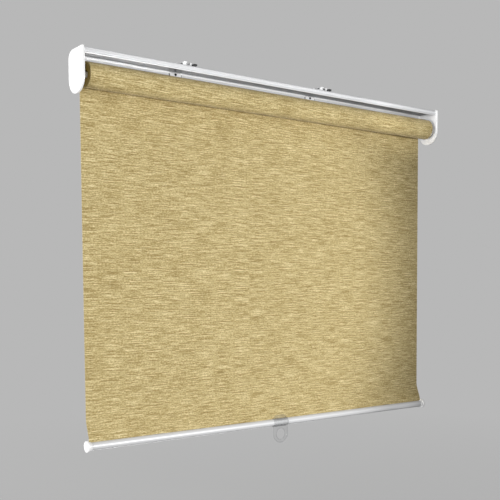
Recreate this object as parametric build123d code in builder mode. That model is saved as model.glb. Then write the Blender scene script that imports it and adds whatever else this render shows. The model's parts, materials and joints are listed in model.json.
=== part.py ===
"""Spring roller blind in an open aluminium case, millimetres.

Origin: midway between the ceiling screws, on the brackets' upper face, at the middle of the
case's depth.  +X runs along the blind, +Y points to the window wall, +Z is up.
"""

import math
import os

from build123d import *

os.makedirs("parts", exist_ok=True)

# ---- driving dimensions -------------------------------------------------------------------
fabric_width = 700.0
case_depth = 45.0
case_height = 61.8
cover_thickness = 3.2
end_gap = 10.2              # fabric edge to the cover's inner face
roll_radius = 18.0          # outside of the wound fabric
tube_radius = 16.0
tube_wall = 1.0
drop = 524.0                # roller axis to bottom bar axis
bar_radius = 6.0
bar_wall = 1.0
bracket_spacing = 270.0
blind_x = 55.0              # the blind's middle, seen from between the brackets
screw_hole_radius = 2.25
touch_gap = 0.3             # kept between curved faces on different bodies
running_gap = 0.05          # radial play of a shaft in its bearing

# ---- places worked out from them ----------------------------------------------------------
case_top = -3.6
case_bottom = case_top - case_height
case_back = case_depth / 2
roll_y = -3.0
roll_z = case_top - 34.9
half_fabric = fabric_width / 2
cover_inner = half_fabric + end_gap
plate_thickness = 1.5
plate_inner = cover_inner - plate_thickness
tube_bore = tube_radius - tube_wall
left_end = blind_x - half_fabric
right_end = blind_x + half_fabric
fabric_thickness = 0.6
fabric_y = roll_y + roll_radius + touch_gap + fabric_thickness / 2
bar_y = 6.5
bar_z = roll_z - drop
hem_height = 40.0
hem_top = bar_z + hem_height

rail_front = -20.0
rail_back = 21.0
rail_wall = 1.2
rail_top = -6.2
rib_top = -4.6
lip_bottom = -12.8
rear_bottom = -30.0
shaft_radius = 4.0
spindle_z = roll_z

X_AXIS_FACE = Plane.YZ      # sketches here are drawn in (y, z) and extruded along +X


def save(builder, name):
    """Label a finished piece and write its STEP file."""
    builder.part.label = name
    export_step(builder.part, f"parts/{name}.step")


def section(x):
    """Plane across the blind at a place along X, with sketch axes (y, z)."""
    return X_AXIS_FACE.offset(x)


# ---- head rail: aluminium extrusion, open below -------------------------------------------
port_radius = 2.4
port_bore = 1.45
front_port = (-16.6, -9.5)
rear_port = (rail_back - rail_wall - 1.6, -26.9)
rail_ports = (front_port, rear_port)

with BuildPart() as head_rail:
    with BuildSketch(section(blind_x - plate_inner)):
        with BuildLine():
            Polyline(
                (rail_front, rib_top),
                (rail_front, lip_bottom),
                (rail_front + rail_wall, lip_bottom),
                (rail_front + rail_wall, rail_top - rail_wall),
                (rail_back - rail_wall, rail_top - rail_wall),
                (rail_back - rail_wall, rear_bottom + rail_wall),
                (rail_back - 3.4, rear_bottom + rail_wall),
                (rail_back - 3.4, rear_bottom),
                (rail_back, rear_bottom),
                (rail_back, rail_top),
                (rail_front + rail_wall, rail_top),
                (rail_front + rail_wall, rib_top - 0.6),
                (rail_front + 2.2, rib_top - 0.6),
                (rail_front + 2.2, rib_top),
                close=True,
            )
        make_face()
        # rounded bead along the lip's lower edge
        with Locations((rail_front + 0.7, lip_bottom + 0.3)):
            Circle(1.1)
        # bead in the rear inside corner
        with Locations((rail_back - rail_wall, rail_top - rail_wall)):
            Circle(1.2)
        # screw ports for the end plates
        with Locations(*rail_ports):
            Circle(port_radius)
        with Locations(*rail_ports):
            Circle(port_bore, mode=Mode.SUBTRACT)
    extrude(amount=2 * plate_inner)
    # pairs of holes for the bracket locking screws
    lock_screw_heights = (-10.8, -15.2)
    lock_screw_radius = 1.25
    with BuildSketch(Plane.XZ.offset(-rail_back - 1)):
        for x in (-bracket_spacing / 2, bracket_spacing / 2):
            for z in lock_screw_heights:
                with Locations((x, z)):
                    Circle(lock_screw_radius + 0.1)
    extrude(amount=4, mode=Mode.SUBTRACT)
save(head_rail, "head_rail")


# ---- end plates, covers and their screws --------------------------------------------------
def case_outline(inset):
    """Face of the case end: square front corner, round back corner, round bottom."""
    front = -case_depth / 2 + inset
    back = case_depth / 2 - inset
    top = case_top - inset
    radius = case_depth / 2 - inset
    bottom_centre = case_bottom + case_depth / 2
    corner = 13.0 - inset
    with BuildSketch() as outline:
        with BuildLine():
            Line((front, bottom_centre), (front, top))
            Line((front, top), (back - corner, top))
            RadiusArc((back - corner, top), (back, top - corner), corner)
            Line((back, top - corner), (back, bottom_centre))
            RadiusArc((back, bottom_centre), (front, bottom_centre), radius)
        make_face()
    return outline.sketch


peg_radius = 1.5
peg_places = ((12.0, -52.0), (-12.0, -52.0))
plate_inset = 1.6
bush_radius = 5.0
socket_height = 12.0
socket_width = 10.0
tang_height = 2 * shaft_radius
tang_width = 4.0
screw_head_radius = 2.8
screw_head_height = 1.6

for side, side_name in ((-1, "left"), (1, "right")):
    plate_plane = section(blind_x + side * plate_inner)
    cover_plane = section(blind_x + side * cover_inner)

    with BuildPart() as end_plate:
        with BuildSketch(plate_plane):
            add(case_outline(plate_inset))
            with Locations(*rail_ports):
                Circle(1.7, mode=Mode.SUBTRACT)
            with Locations(*peg_places):
                Circle(peg_radius + 0.1, mode=Mode.SUBTRACT)
            with Locations((roll_y, roll_z)):
                if side < 0:
                    Circle(bush_radius, mode=Mode.SUBTRACT)
                else:
                    Rectangle(tang_width + 0.2, tang_height + 0.2, mode=Mode.SUBTRACT)
        extrude(amount=side * plate_thickness)
    save(end_plate, f"end_plate_{side_name}")

    with BuildPart() as end_cover:
        with BuildSketch(cover_plane):
            add(case_outline(0))
        extrude(amount=side * cover_thickness)
        rim = end_cover.faces().sort_by(Axis.X)[0 if side < 0 else -1]
        fillet(rim.edges(), radius=1.0)
        with BuildSketch(cover_plane):
            with Locations(*rail_ports):
                Circle(screw_head_radius + 0.4)
        extrude(amount=side * (screw_head_height + 0.3), mode=Mode.SUBTRACT)
        with BuildSketch(cover_plane):
            with Locations(*peg_places):
                Circle(peg_radius)
        extrude(amount=-side * plate_thickness)
    save(end_cover, f"end_cover_{side_name}")

    with BuildPart() as plate_screws:
        with BuildSketch(cover_plane):
            with Locations(*rail_ports):
                Circle(screw_head_radius)
        extrude(amount=side * screw_head_height)
        with BuildSketch(cover_plane):
            with Locations(*rail_ports):
                Circle(port_bore)
        extrude(amount=-side * 12)
        drive_plane = section(blind_x + side * (cover_inner + screw_head_height))
        with BuildSketch(drive_plane):
            with Locations(*rail_ports):
                Rectangle(0.7, 3.4)
                Rectangle(3.4, 0.7)
        extrude(amount=-side * 1.0, mode=Mode.SUBTRACT)
    save(plate_screws, f"plate_screws_{side_name}")

# ---- roller bearings ----------------------------------------------------------------------
idler_spigot = 3.0
bush_flange = 1.5

with BuildPart() as bearing_bush:
    with BuildSketch(section(blind_x - cover_inner)):
        with Locations((roll_y, roll_z)):
            Circle(bush_radius)
    extrude(amount=plate_thickness)
    with BuildSketch(section(blind_x - plate_inner)):
        with Locations((roll_y, roll_z)):
            Circle(bush_radius + 2)
    extrude(amount=bush_flange)
    with BuildSketch(section(blind_x - cover_inner)):
        with Locations((roll_y, roll_z)):
            Circle(idler_spigot + running_gap)
    extrude(amount=plate_thickness + bush_flange, mode=Mode.SUBTRACT)
save(bearing_bush, "bearing_bush")

with BuildPart() as shaft_socket:
    with BuildSketch(section(blind_x + plate_inner)):
        with Locations((roll_y, roll_z)):
            RectangleRounded(socket_width, socket_height + 2, 2)
            Rectangle(tang_width, tang_height, mode=Mode.SUBTRACT)
    extrude(amount=-4)
save(shaft_socket, "shaft_socket")

# ---- mounting brackets, locking plates, release slides ------------------------------------
bracket_sheet = 1.2
bracket_half = 14.0
plate_front = -6.0
leg_front = rail_back + 0.2
leg_bottom = -30.0
arm_front = -20.5
hook_y = -17.2              # front face of the arm's turned-down finger
wall_hole_z = -24.0
slide_travel = 3.0
lock_plate_sheet = 1.0
lock_head_height = 0.9

for side, side_name in ((-1, "left"), (1, "right")):
    bracket_x = side * bracket_spacing / 2

    with BuildPart() as bracket:
        with BuildSketch(Plane.XY):
            with Locations((bracket_x, (plate_front + leg_front + bracket_sheet) / 2)):
                Rectangle(2 * bracket_half, leg_front + bracket_sheet - plate_front)
            with Locations((bracket_x - 6, (arm_front + plate_front) / 2)):
                Rectangle(6, plate_front - arm_front)
            with Locations((bracket_x + 5, (hook_y + plate_front) / 2)):
                Rectangle(3, plate_front - hook_y)
            with Locations((bracket_x, 0)):
                Circle(screw_hole_radius, mode=Mode.SUBTRACT)
        extrude(amount=-bracket_sheet)
        # turned-down fingers whose toes sit under the rail's front rib
        with BuildSketch(Plane.YZ.offset(bracket_x - 9)):
            with BuildLine():
                Polyline(
                    (hook_y, -bracket_sheet),
                    (hook_y, rail_top + 0.8),
                    (hook_y - 1.3, rail_top + 0.8),
                    (hook_y - 1.3, rail_top + 0.1),
                    (hook_y + bracket_sheet, rail_top + 0.1),
                    (hook_y + bracket_sheet, -bracket_sheet),
                    close=True,
                )
            make_face()
        extrude(amount=6)
        with BuildSketch(Plane.YZ.offset(bracket_x + 3.5)):
            with Locations((hook_y + bracket_sheet / 2, (rail_top + 0.1 - bracket_sheet) / 2)):
                Rectangle(bracket_sheet, bracket_sheet - rail_top - 0.1 - 2 * bracket_sheet)
        extrude(amount=3)
        # rear leg behind the rail
        with BuildSketch(Plane.XZ.offset(-leg_front)):
            with Locations((bracket_x, leg_bottom / 2)):
                Rectangle(2 * bracket_half - 6, -leg_bottom)
            with Locations((bracket_x, wall_hole_z)):
                Circle(screw_hole_radius, mode=Mode.SUBTRACT)
            for z in lock_screw_heights:
                with Locations((bracket_x, z)):
                    Circle(lock_screw_radius, mode=Mode.SUBTRACT)
        extrude(amount=-bracket_sheet)
        leg_corners = bracket.edges().filter_by(Axis.Y).group_by(Axis.Z)[0]
        fillet(leg_corners, radius=4)
    save(bracket, f"bracket_{side_name}")

    with BuildPart() as lock_plate:
        with BuildSketch(Plane.XZ.offset(-(rail_back - rail_wall))):
            with Locations((bracket_x, -13.8)):
                RectangleRounded(20, 10, 1)
            for z in lock_screw_heights:
                with Locations((bracket_x, z)):
                    Circle(lock_screw_radius, mode=Mode.SUBTRACT)
        extrude(amount=lock_plate_sheet)
    save(lock_plate, f"lock_plate_{side_name}")

    lock_face = rail_back - rail_wall - lock_plate_sheet
    with BuildPart() as lock_screws:
        with BuildSketch(Plane.XZ.offset(-lock_face)):
            for z in lock_screw_heights:
                with Locations((bracket_x, z)):
                    Circle(1.8)
        extrude(amount=lock_head_height)
        with BuildSketch(Plane.XZ.offset(-lock_face)):
            for z in lock_screw_heights:
                with Locations((bracket_x, z)):
                    Circle(lock_screw_radius)
        extrude(amount=-(leg_front + bracket_sheet - lock_face))
        with BuildSketch(Plane.XZ.offset(-lock_face + lock_head_height)):
            for z in lock_screw_heights:
                with Locations((bracket_x, z)):
                    Rectangle(2.6, 0.6)
        extrude(amount=-0.5, mode=Mode.SUBTRACT)
    save(lock_screws, f"lock_screws_{side_name}")

    with BuildPart() as release_slide:
        slide_bottom = rib_top + touch_gap
        slide_top = -bracket_sheet - touch_gap
        with BuildSketch(Plane.XY.offset(slide_bottom)):
            with Locations((bracket_x + 10.6, -14.6)):
                RectangleRounded(6.6, 13.8, 1)
        extrude(amount=slide_top - slide_bottom)
        front_edges = release_slide.edges().filter_by(Axis.X).group_by(Axis.Y)[0]
        fillet(front_edges, radius=0.8)
    save(release_slide, f"release_slide_{side_name}")

# ---- spring motor inside the right end of the tube ----------------------------------------
tang_end = blind_x + cover_inner - 0.4
shaft_shoulder = blind_x + plate_inner - 4.5
shaft_length = 272.0
shaft_left = shaft_shoulder - shaft_length

with BuildPart() as fixed_shaft:
    with BuildSketch(section(shaft_left)):
        with Locations((roll_y, spindle_z)):
            Circle(shaft_radius)
    extrude(amount=shaft_length)
    with BuildSketch(section(shaft_shoulder)):
        with Locations((roll_y, spindle_z)):
            Circle(shaft_radius)
            Rectangle(tang_width, 2 * shaft_radius, mode=Mode.INTERSECT)
    extrude(amount=tang_end - shaft_shoulder)
    chamfer(fixed_shaft.faces().sort_by(Axis.X)[0].edges(), length=0.6)
save(fixed_shaft, "fixed_shaft")

wheel_radius = 6.6
wheel_width = 5.0
wheel_x = right_end - 13.0
notch_root = 3.9 + 0.75
notch_count = 4


def polar(radius, angle):
    """Point (y, z) about the roller axis; the angle is in degrees from +Y towards +Z."""
    turn = math.radians(angle)
    return (roll_y + radius * math.cos(turn), spindle_z + radius * math.sin(turn))


with BuildPart() as ratchet_wheel:
    with BuildSketch(section(wheel_x)):
        with Locations((roll_y, spindle_z)):
            Circle(wheel_radius)
            Circle(shaft_radius, mode=Mode.SUBTRACT)
        for notch in range(notch_count):
            first = 90 * notch
            with BuildLine():
                Polyline(
                    polar(wheel_radius + 1, first + 149),
                    polar(notch_root, first + 149),
                    polar(wheel_radius + 0.1, first + 92),
                    polar(wheel_radius + 1.4, first + 120),
                    close=True,
                )
            make_face(mode=Mode.SUBTRACT)
    extrude(amount=wheel_width)
save(ratchet_wheel, "ratchet_wheel")

anchor_x = shaft_left + 14.0
anchor_spigot = 7.2
coil_mean = 8.4
coil_wire = 1.6
coil_pitch = 6.0
coil_turns = 34
coil_left = anchor_x + 5.0

with BuildPart() as spring_anchor:
    with BuildSketch(section(anchor_x)):
        with Locations((roll_y, spindle_z)):
            Circle(11)
            Circle(shaft_radius, mode=Mode.SUBTRACT)
    extrude(amount=3.5)
    with BuildSketch(section(anchor_x + 3.5)):
        with Locations((roll_y, spindle_z)):
            Circle(anchor_spigot)
            Circle(shaft_radius, mode=Mode.SUBTRACT)
    extrude(amount=14)
save(spring_anchor, "spring_anchor")

with BuildPart() as shaft_support:
    with BuildSketch(section(anchor_x - 7)):
        with Locations((roll_y, spindle_z)):
            Circle(tube_bore - touch_gap)
            Circle(shaft_radius, mode=Mode.SUBTRACT)
            with PolarLocations(10, 6):
                Circle(2.4, mode=Mode.SUBTRACT)
    extrude(amount=6)
save(shaft_support, "shaft_support")

with BuildPart() as shaft_clip:
    with BuildSketch(section(anchor_x - 8)):
        with Locations((roll_y, spindle_z)):
            Circle(6.6)
            Circle(shaft_radius, mode=Mode.SUBTRACT)
        with Locations((roll_y, spindle_z + 5.5)):
            Rectangle(3, 5, mode=Mode.SUBTRACT)
    extrude(amount=0.9)
save(shaft_clip, "shaft_clip")

with BuildPart() as torsion_spring:
    with BuildLine() as coil_path:
        Helix(
            pitch=coil_pitch,
            height=coil_pitch * coil_turns,
            radius=coil_mean,
            center=(coil_left, roll_y, spindle_z),
            direction=(1, 0, 0),
        )
    with BuildSketch(Plane(coil_path.line @ 0, z_dir=coil_path.line % 0)):
        Circle(coil_wire / 2)
    sweep(is_frenet=True)
save(torsion_spring, "torsion_spring")

# ---- roller: tube, plugs, pin, pawl pins, wound fabric ------------------------------------
with BuildPart() as roller_tube:
    with BuildSketch(section(left_end)):
        with Locations((roll_y, roll_z)):
            Circle(tube_radius)
            Circle(tube_bore, mode=Mode.SUBTRACT)
    extrude(amount=fabric_width)
save(roller_tube, "roller_tube")

tape_thickness = 0.2
with BuildPart() as mounting_tape:
    with BuildSketch(section(left_end)):
        with Locations((roll_y, roll_z)):
            Circle(tube_radius + tape_thickness)
            Circle(tube_radius, mode=Mode.SUBTRACT)
        with Locations((roll_y, roll_z + tube_radius)):
            Rectangle(11, 3, mode=Mode.INTERSECT)
    extrude(amount=fabric_width)
save(mounting_tape, "mounting_tape")

with BuildPart() as fabric_roll:
    with BuildSketch(section(left_end)):
        with Locations((roll_y, roll_z)):
            Circle(roll_radius)
            Circle(tube_radius + tape_thickness, mode=Mode.SUBTRACT)
    extrude(amount=fabric_width)
save(fabric_roll, "fabric_roll")

plug_radius = tube_bore
plug_recess = 4.0
pin_hub = 4.0

with BuildPart() as idler_plug:
    with BuildSketch(section(left_end + plug_recess)):
        with Locations((roll_y, roll_z)):
            Circle(plug_radius)
            Circle(idler_spigot, mode=Mode.SUBTRACT)
    extrude(amount=28)
    with BuildSketch(section(left_end + plug_recess + 3)):
        with Locations((roll_y, roll_z)):
            Circle(plug_radius - 2)
            Circle(pin_hub + 2, mode=Mode.SUBTRACT)
            with PolarLocations(10, 6):
                Rectangle(9, 1.6, mode=Mode.SUBTRACT)
    extrude(amount=25, mode=Mode.SUBTRACT)
save(idler_plug, "idler_plug")

with BuildPart() as idler_pin:
    with BuildSketch(section(blind_x - cover_inner + 0.3)):
        with Locations((roll_y, roll_z)):
            Circle(idler_spigot)
    extrude(amount=40)
    with BuildSketch(section(blind_x - plate_inner + bush_flange + 0.5)):
        with Locations((roll_y, roll_z)):
            Circle(pin_hub)
    extrude(amount=left_end + plug_recess - (blind_x - plate_inner + bush_flange + 0.5))
    chamfer(idler_pin.faces().sort_by(Axis.X)[0].edges(), length=0.4)
save(idler_pin, "idler_pin")

web_left = right_end - 20.0
web_thickness = 6.0
cup_right = right_end - plug_recess
pivot_radius = 10.4
pivot_pin_radius = 1.0
spring_spigot = 6.9

with BuildPart() as motor_plug:
    with BuildSketch(section(web_left - 24)):
        with Locations((roll_y, spindle_z)):
            Circle(plug_radius)
            Circle(plug_radius - 2.4, mode=Mode.SUBTRACT)
    extrude(amount=cup_right - web_left + 24)
    with BuildSketch(section(web_left)):
        with Locations((roll_y, spindle_z)):
            Circle(plug_radius - 2)
    extrude(amount=web_thickness)
    with BuildSketch(section(web_left - 18)):
        with Locations((roll_y, spindle_z)):
            Circle(spring_spigot)
    extrude(amount=18)
    with BuildSketch(section(web_left - 18)):
        with Locations((roll_y, spindle_z)):
            Circle(shaft_radius + running_gap)
        for side in (-1, 1):
            with Locations((roll_y, spindle_z + side * pivot_radius)):
                Circle(pivot_pin_radius)
    extrude(amount=18 + web_thickness, mode=Mode.SUBTRACT)
save(motor_plug, "motor_plug")

pawl_x = wheel_x + 0.6
pawl_width = 3.4

with BuildPart() as pawl_pins:
    with BuildSketch(section(web_left)):
        for side in (-1, 1):
            with Locations((roll_y, spindle_z + side * pivot_radius)):
                Circle(pivot_pin_radius)
    extrude(amount=pawl_x + pawl_width + 1.4 - web_left)
save(pawl_pins, "pawl_pins")

pawl_length = 7.7
pawl_lift_angle = 39.7      # below horizontal, pointing to -Y, when clear of the wheel
pawl_nose = 0.7
pawl_eye = 1.8

for side, pawl_name in ((1, "pawl_upper"), (-1, "pawl_lower")):
    reach = math.radians(180 + pawl_lift_angle)
    nose = (side * pawl_length * math.cos(reach), side * pawl_length * math.sin(reach))
    pivot = (roll_y, spindle_z + side * pivot_radius)
    arm_angle = math.degrees(math.atan2(nose[1], nose[0]))
    with BuildPart() as pawl:
        with BuildSketch(section(pawl_x)):
            with Locations(pivot):
                Circle(pawl_eye)
            with Locations((pivot[0] + nose[0] / 2, pivot[1] + nose[1] / 2)):
                Rectangle(pawl_length, 2 * pawl_nose, rotation=arm_angle)
            with Locations((pivot[0] + nose[0], pivot[1] + nose[1])):
                Circle(pawl_nose)
            with Locations(pivot):
                Circle(pivot_pin_radius + running_gap, mode=Mode.SUBTRACT)
        extrude(amount=pawl_width)
    save(pawl, pawl_name)

# ---- hanging fabric and its lower end -----------------------------------------------------
with BuildPart() as fabric_sheet:
    with BuildSketch(section(left_end)):
        with Locations((fabric_y, (roll_z + hem_top) / 2)):
            Rectangle(fabric_thickness, roll_z - hem_top)
    extrude(amount=fabric_width)
save(fabric_sheet, "fabric_sheet")

rod_radius = 2.0
hem_skin = 0.8

with BuildPart() as fabric_hem:
    with BuildSketch(section(left_end)):
        with BuildLine():
            front_edge = Spline(
                (fabric_y - fabric_thickness / 2, hem_top),
                (bar_y - hem_skin / 2, bar_z + rod_radius),
                tangents=((0, -1), (0, -1)),
                tangent_scalars=(1.6, 0.8),
            )
            back_edge = Spline(
                (fabric_y + fabric_thickness / 2, hem_top),
                (bar_y + hem_skin / 2, bar_z + rod_radius),
                tangents=((0, -1), (0, -1)),
                tangent_scalars=(1.6, 0.8),
            )
            Line(front_edge @ 0, back_edge @ 0)
            Line(front_edge @ 1, back_edge @ 1)
        make_face()
        with Locations((bar_y, bar_z)):
            Circle(rod_radius + hem_skin)
            Circle(rod_radius, mode=Mode.SUBTRACT)
    extrude(amount=fabric_width)
save(fabric_hem, "fabric_hem")

with BuildPart() as hem_rod:
    with BuildSketch(section(left_end + 2)):
        with Locations((bar_y, bar_z)):
            Circle(rod_radius)
    extrude(amount=fabric_width - 4)
save(hem_rod, "hem_rod")

# ---- bottom bar, its caps and the pull ring -----------------------------------------------
bar_overhang = 1.6
cap_radius = 8.2
cap_thickness = 3.2
cap_sleeve = 5.0
slot_width = 1.8
bar_half = half_fabric + bar_overhang

with BuildPart() as bottom_bar:
    with BuildSketch(section(blind_x - bar_half)):
        with Locations((bar_y, bar_z)):
            Circle(bar_radius)
            Circle(bar_radius - bar_wall, mode=Mode.SUBTRACT)
        with Locations((bar_y, bar_z + bar_radius)):
            Rectangle(slot_width, 2 * bar_wall + 1, mode=Mode.SUBTRACT)
    extrude(amount=2 * bar_half)
save(bottom_bar, "bottom_bar")

for side, side_name in ((-1, "left"), (1, "right")):
    bar_end = blind_x + side * bar_half
    with BuildPart() as bar_cap:
        with BuildSketch(section(bar_end)):
            with Locations((bar_y, bar_z)):
                Circle(cap_radius)
        extrude(amount=side * cap_thickness)
        fillet(bar_cap.edges().filter_by(GeomType.CIRCLE), radius=1.1)
        with BuildSketch(section(bar_end)):
            with Locations((bar_y, bar_z)):
                Circle(bar_radius - bar_wall)
                Circle(rod_radius + hem_skin + 0.4, mode=Mode.SUBTRACT)
            with Locations((bar_y, bar_z + bar_radius)):
                Rectangle(slot_width, 2 * bar_radius, mode=Mode.SUBTRACT)
        extrude(amount=-side * 14)
        with BuildSketch(section(bar_end + side * 1.2)):
            with Locations((bar_y, bar_z)):
                Circle(bar_radius - bar_wall)
        extrude(amount=-side * 1.2)
    save(bar_cap, f"bar_cap_{side_name}")

clip_skin = 1.3
clip_half = 15.0
tongue_half = 10.0
tongue_top = bar_z + 12.5
ring_y = bar_y - 3.2
ring_depth = 2.4
ring_centre = bar_z - 19.8
ring_outer = 14.6
ring_hole = 9.4

with BuildPart() as pull_ring:
    # spring clip round the bar, open behind
    with BuildSketch(section(blind_x - clip_half)):
        with Locations((bar_y, bar_z)):
            Circle(bar_radius + clip_skin)
            Circle(bar_radius, mode=Mode.SUBTRACT)
        with Locations((bar_y + 4.4, bar_z + 5)):
            Rectangle(10, 10, mode=Mode.SUBTRACT)
    extrude(amount=2 * clip_half)
    # tongue that lies on the front of the fabric
    with BuildSketch(Plane.XZ.offset(-(bar_y - 0.7))):
        with BuildLine():
            Polyline(
                (blind_x - clip_half, bar_z + bar_radius),
                (blind_x - tongue_half, tongue_top),
                (blind_x + tongue_half, tongue_top),
                (blind_x + clip_half, bar_z + bar_radius),
                close=True,
            )
        make_face()
    extrude(amount=1.4)
    # finger ring below the bar
    with BuildSketch(Plane.XZ.offset(-(ring_y + ring_depth / 2))):
        with Locations((blind_x, ring_centre)):
            RegularPolygon(ring_outer / math.cos(math.pi / 8), 8, rotation=22.5)
        with Locations((blind_x, (ring_centre + bar_z - bar_radius) / 2)):
            Rectangle(2 * clip_half - 1, bar_z - bar_radius - ring_centre)
        with Locations((blind_x, ring_centre)):
            Circle(ring_hole, mode=Mode.SUBTRACT)
    extrude(amount=ring_depth)
    with BuildSketch(section(blind_x - clip_half)):
        with Locations((bar_y, bar_z)):
            Circle(bar_radius)
    extrude(amount=2 * clip_half, mode=Mode.SUBTRACT)
save(pull_ring, "pull_ring")
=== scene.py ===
"""Looks of a spring roller blind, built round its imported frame.

Every length is in metres.  +X runs along the blind, +Y points to the window, +Z is up.
"""

import json
import logging
import math
from collections.abc import Callable, Iterator, Sequence
from contextlib import contextmanager
from dataclasses import dataclass
from enum import Enum
from functools import cached_property

import bpy
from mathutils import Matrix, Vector


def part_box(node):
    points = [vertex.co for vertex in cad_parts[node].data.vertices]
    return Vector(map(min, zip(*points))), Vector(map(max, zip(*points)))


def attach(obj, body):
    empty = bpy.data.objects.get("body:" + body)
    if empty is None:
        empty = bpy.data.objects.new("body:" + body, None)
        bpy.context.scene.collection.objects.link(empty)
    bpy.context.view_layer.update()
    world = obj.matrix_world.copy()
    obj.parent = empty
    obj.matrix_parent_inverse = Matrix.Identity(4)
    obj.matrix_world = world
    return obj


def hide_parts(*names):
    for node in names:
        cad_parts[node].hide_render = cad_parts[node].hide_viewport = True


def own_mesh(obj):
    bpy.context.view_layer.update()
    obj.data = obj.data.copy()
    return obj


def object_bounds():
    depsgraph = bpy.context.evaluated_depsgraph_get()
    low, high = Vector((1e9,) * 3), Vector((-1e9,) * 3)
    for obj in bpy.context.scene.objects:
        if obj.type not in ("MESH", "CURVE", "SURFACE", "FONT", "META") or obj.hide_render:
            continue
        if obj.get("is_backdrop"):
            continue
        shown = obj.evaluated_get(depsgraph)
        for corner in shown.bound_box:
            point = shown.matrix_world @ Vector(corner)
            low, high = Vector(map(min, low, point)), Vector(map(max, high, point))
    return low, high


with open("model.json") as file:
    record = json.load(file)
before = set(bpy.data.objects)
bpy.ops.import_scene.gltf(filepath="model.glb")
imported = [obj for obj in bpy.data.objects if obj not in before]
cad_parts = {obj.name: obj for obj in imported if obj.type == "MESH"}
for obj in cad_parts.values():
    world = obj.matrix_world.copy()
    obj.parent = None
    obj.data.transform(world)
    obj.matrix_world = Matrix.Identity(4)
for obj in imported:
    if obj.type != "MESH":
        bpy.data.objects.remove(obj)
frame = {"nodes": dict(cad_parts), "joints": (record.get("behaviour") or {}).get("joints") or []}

log = logging.getLogger("roller_blind")

MM = 0.001
WELD = 0.005 * MM
FINE_WELD = 0.002 * MM
SAME_PLACE = 0.01 * MM
THROUGH = 10.0 * MM

Point = tuple[float, float]
Place = tuple[float, float, float]


# ---------------------------------------------------------------------------------------
# Material formulas
# ---------------------------------------------------------------------------------------
class Signal:
    """A node's output socket that can be used in arithmetic."""

    def __init__(self, shop: "Shop", socket: bpy.types.NodeSocket) -> None:
        """Wrap one output socket of a material being made."""
        self.shop = shop
        self.socket = socket

    def _math(self, operation: str, first: object, second: object) -> "Signal":
        """Add one Math node.

        Args:
            operation: the node's operation.
            first: the first value or signal.
            second: the second value or signal.

        Returns:
            The node's result.
        """
        return self.shop.node("ShaderNodeMath", {"operation": operation}, {0: first, 1: second})

    def __add__(self, other: object) -> "Signal":
        """Sum."""
        return self._math("ADD", self, other)

    __radd__ = __add__

    def __sub__(self, other: object) -> "Signal":
        """Difference."""
        return self._math("SUBTRACT", self, other)

    def __rsub__(self, other: object) -> "Signal":
        """Difference from a number."""
        return self._math("SUBTRACT", other, self)

    def __mul__(self, other: object) -> "Signal":
        """Product."""
        return self._math("MULTIPLY", self, other)

    __rmul__ = __mul__

    def above(self, level: float) -> "Signal":
        """One where the signal is above a level, otherwise zero."""
        return self._math("GREATER_THAN", self, level)

    def below(self, level: float) -> "Signal":
        """One where the signal is below a level, otherwise zero."""
        return self._math("LESS_THAN", self, level)


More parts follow.
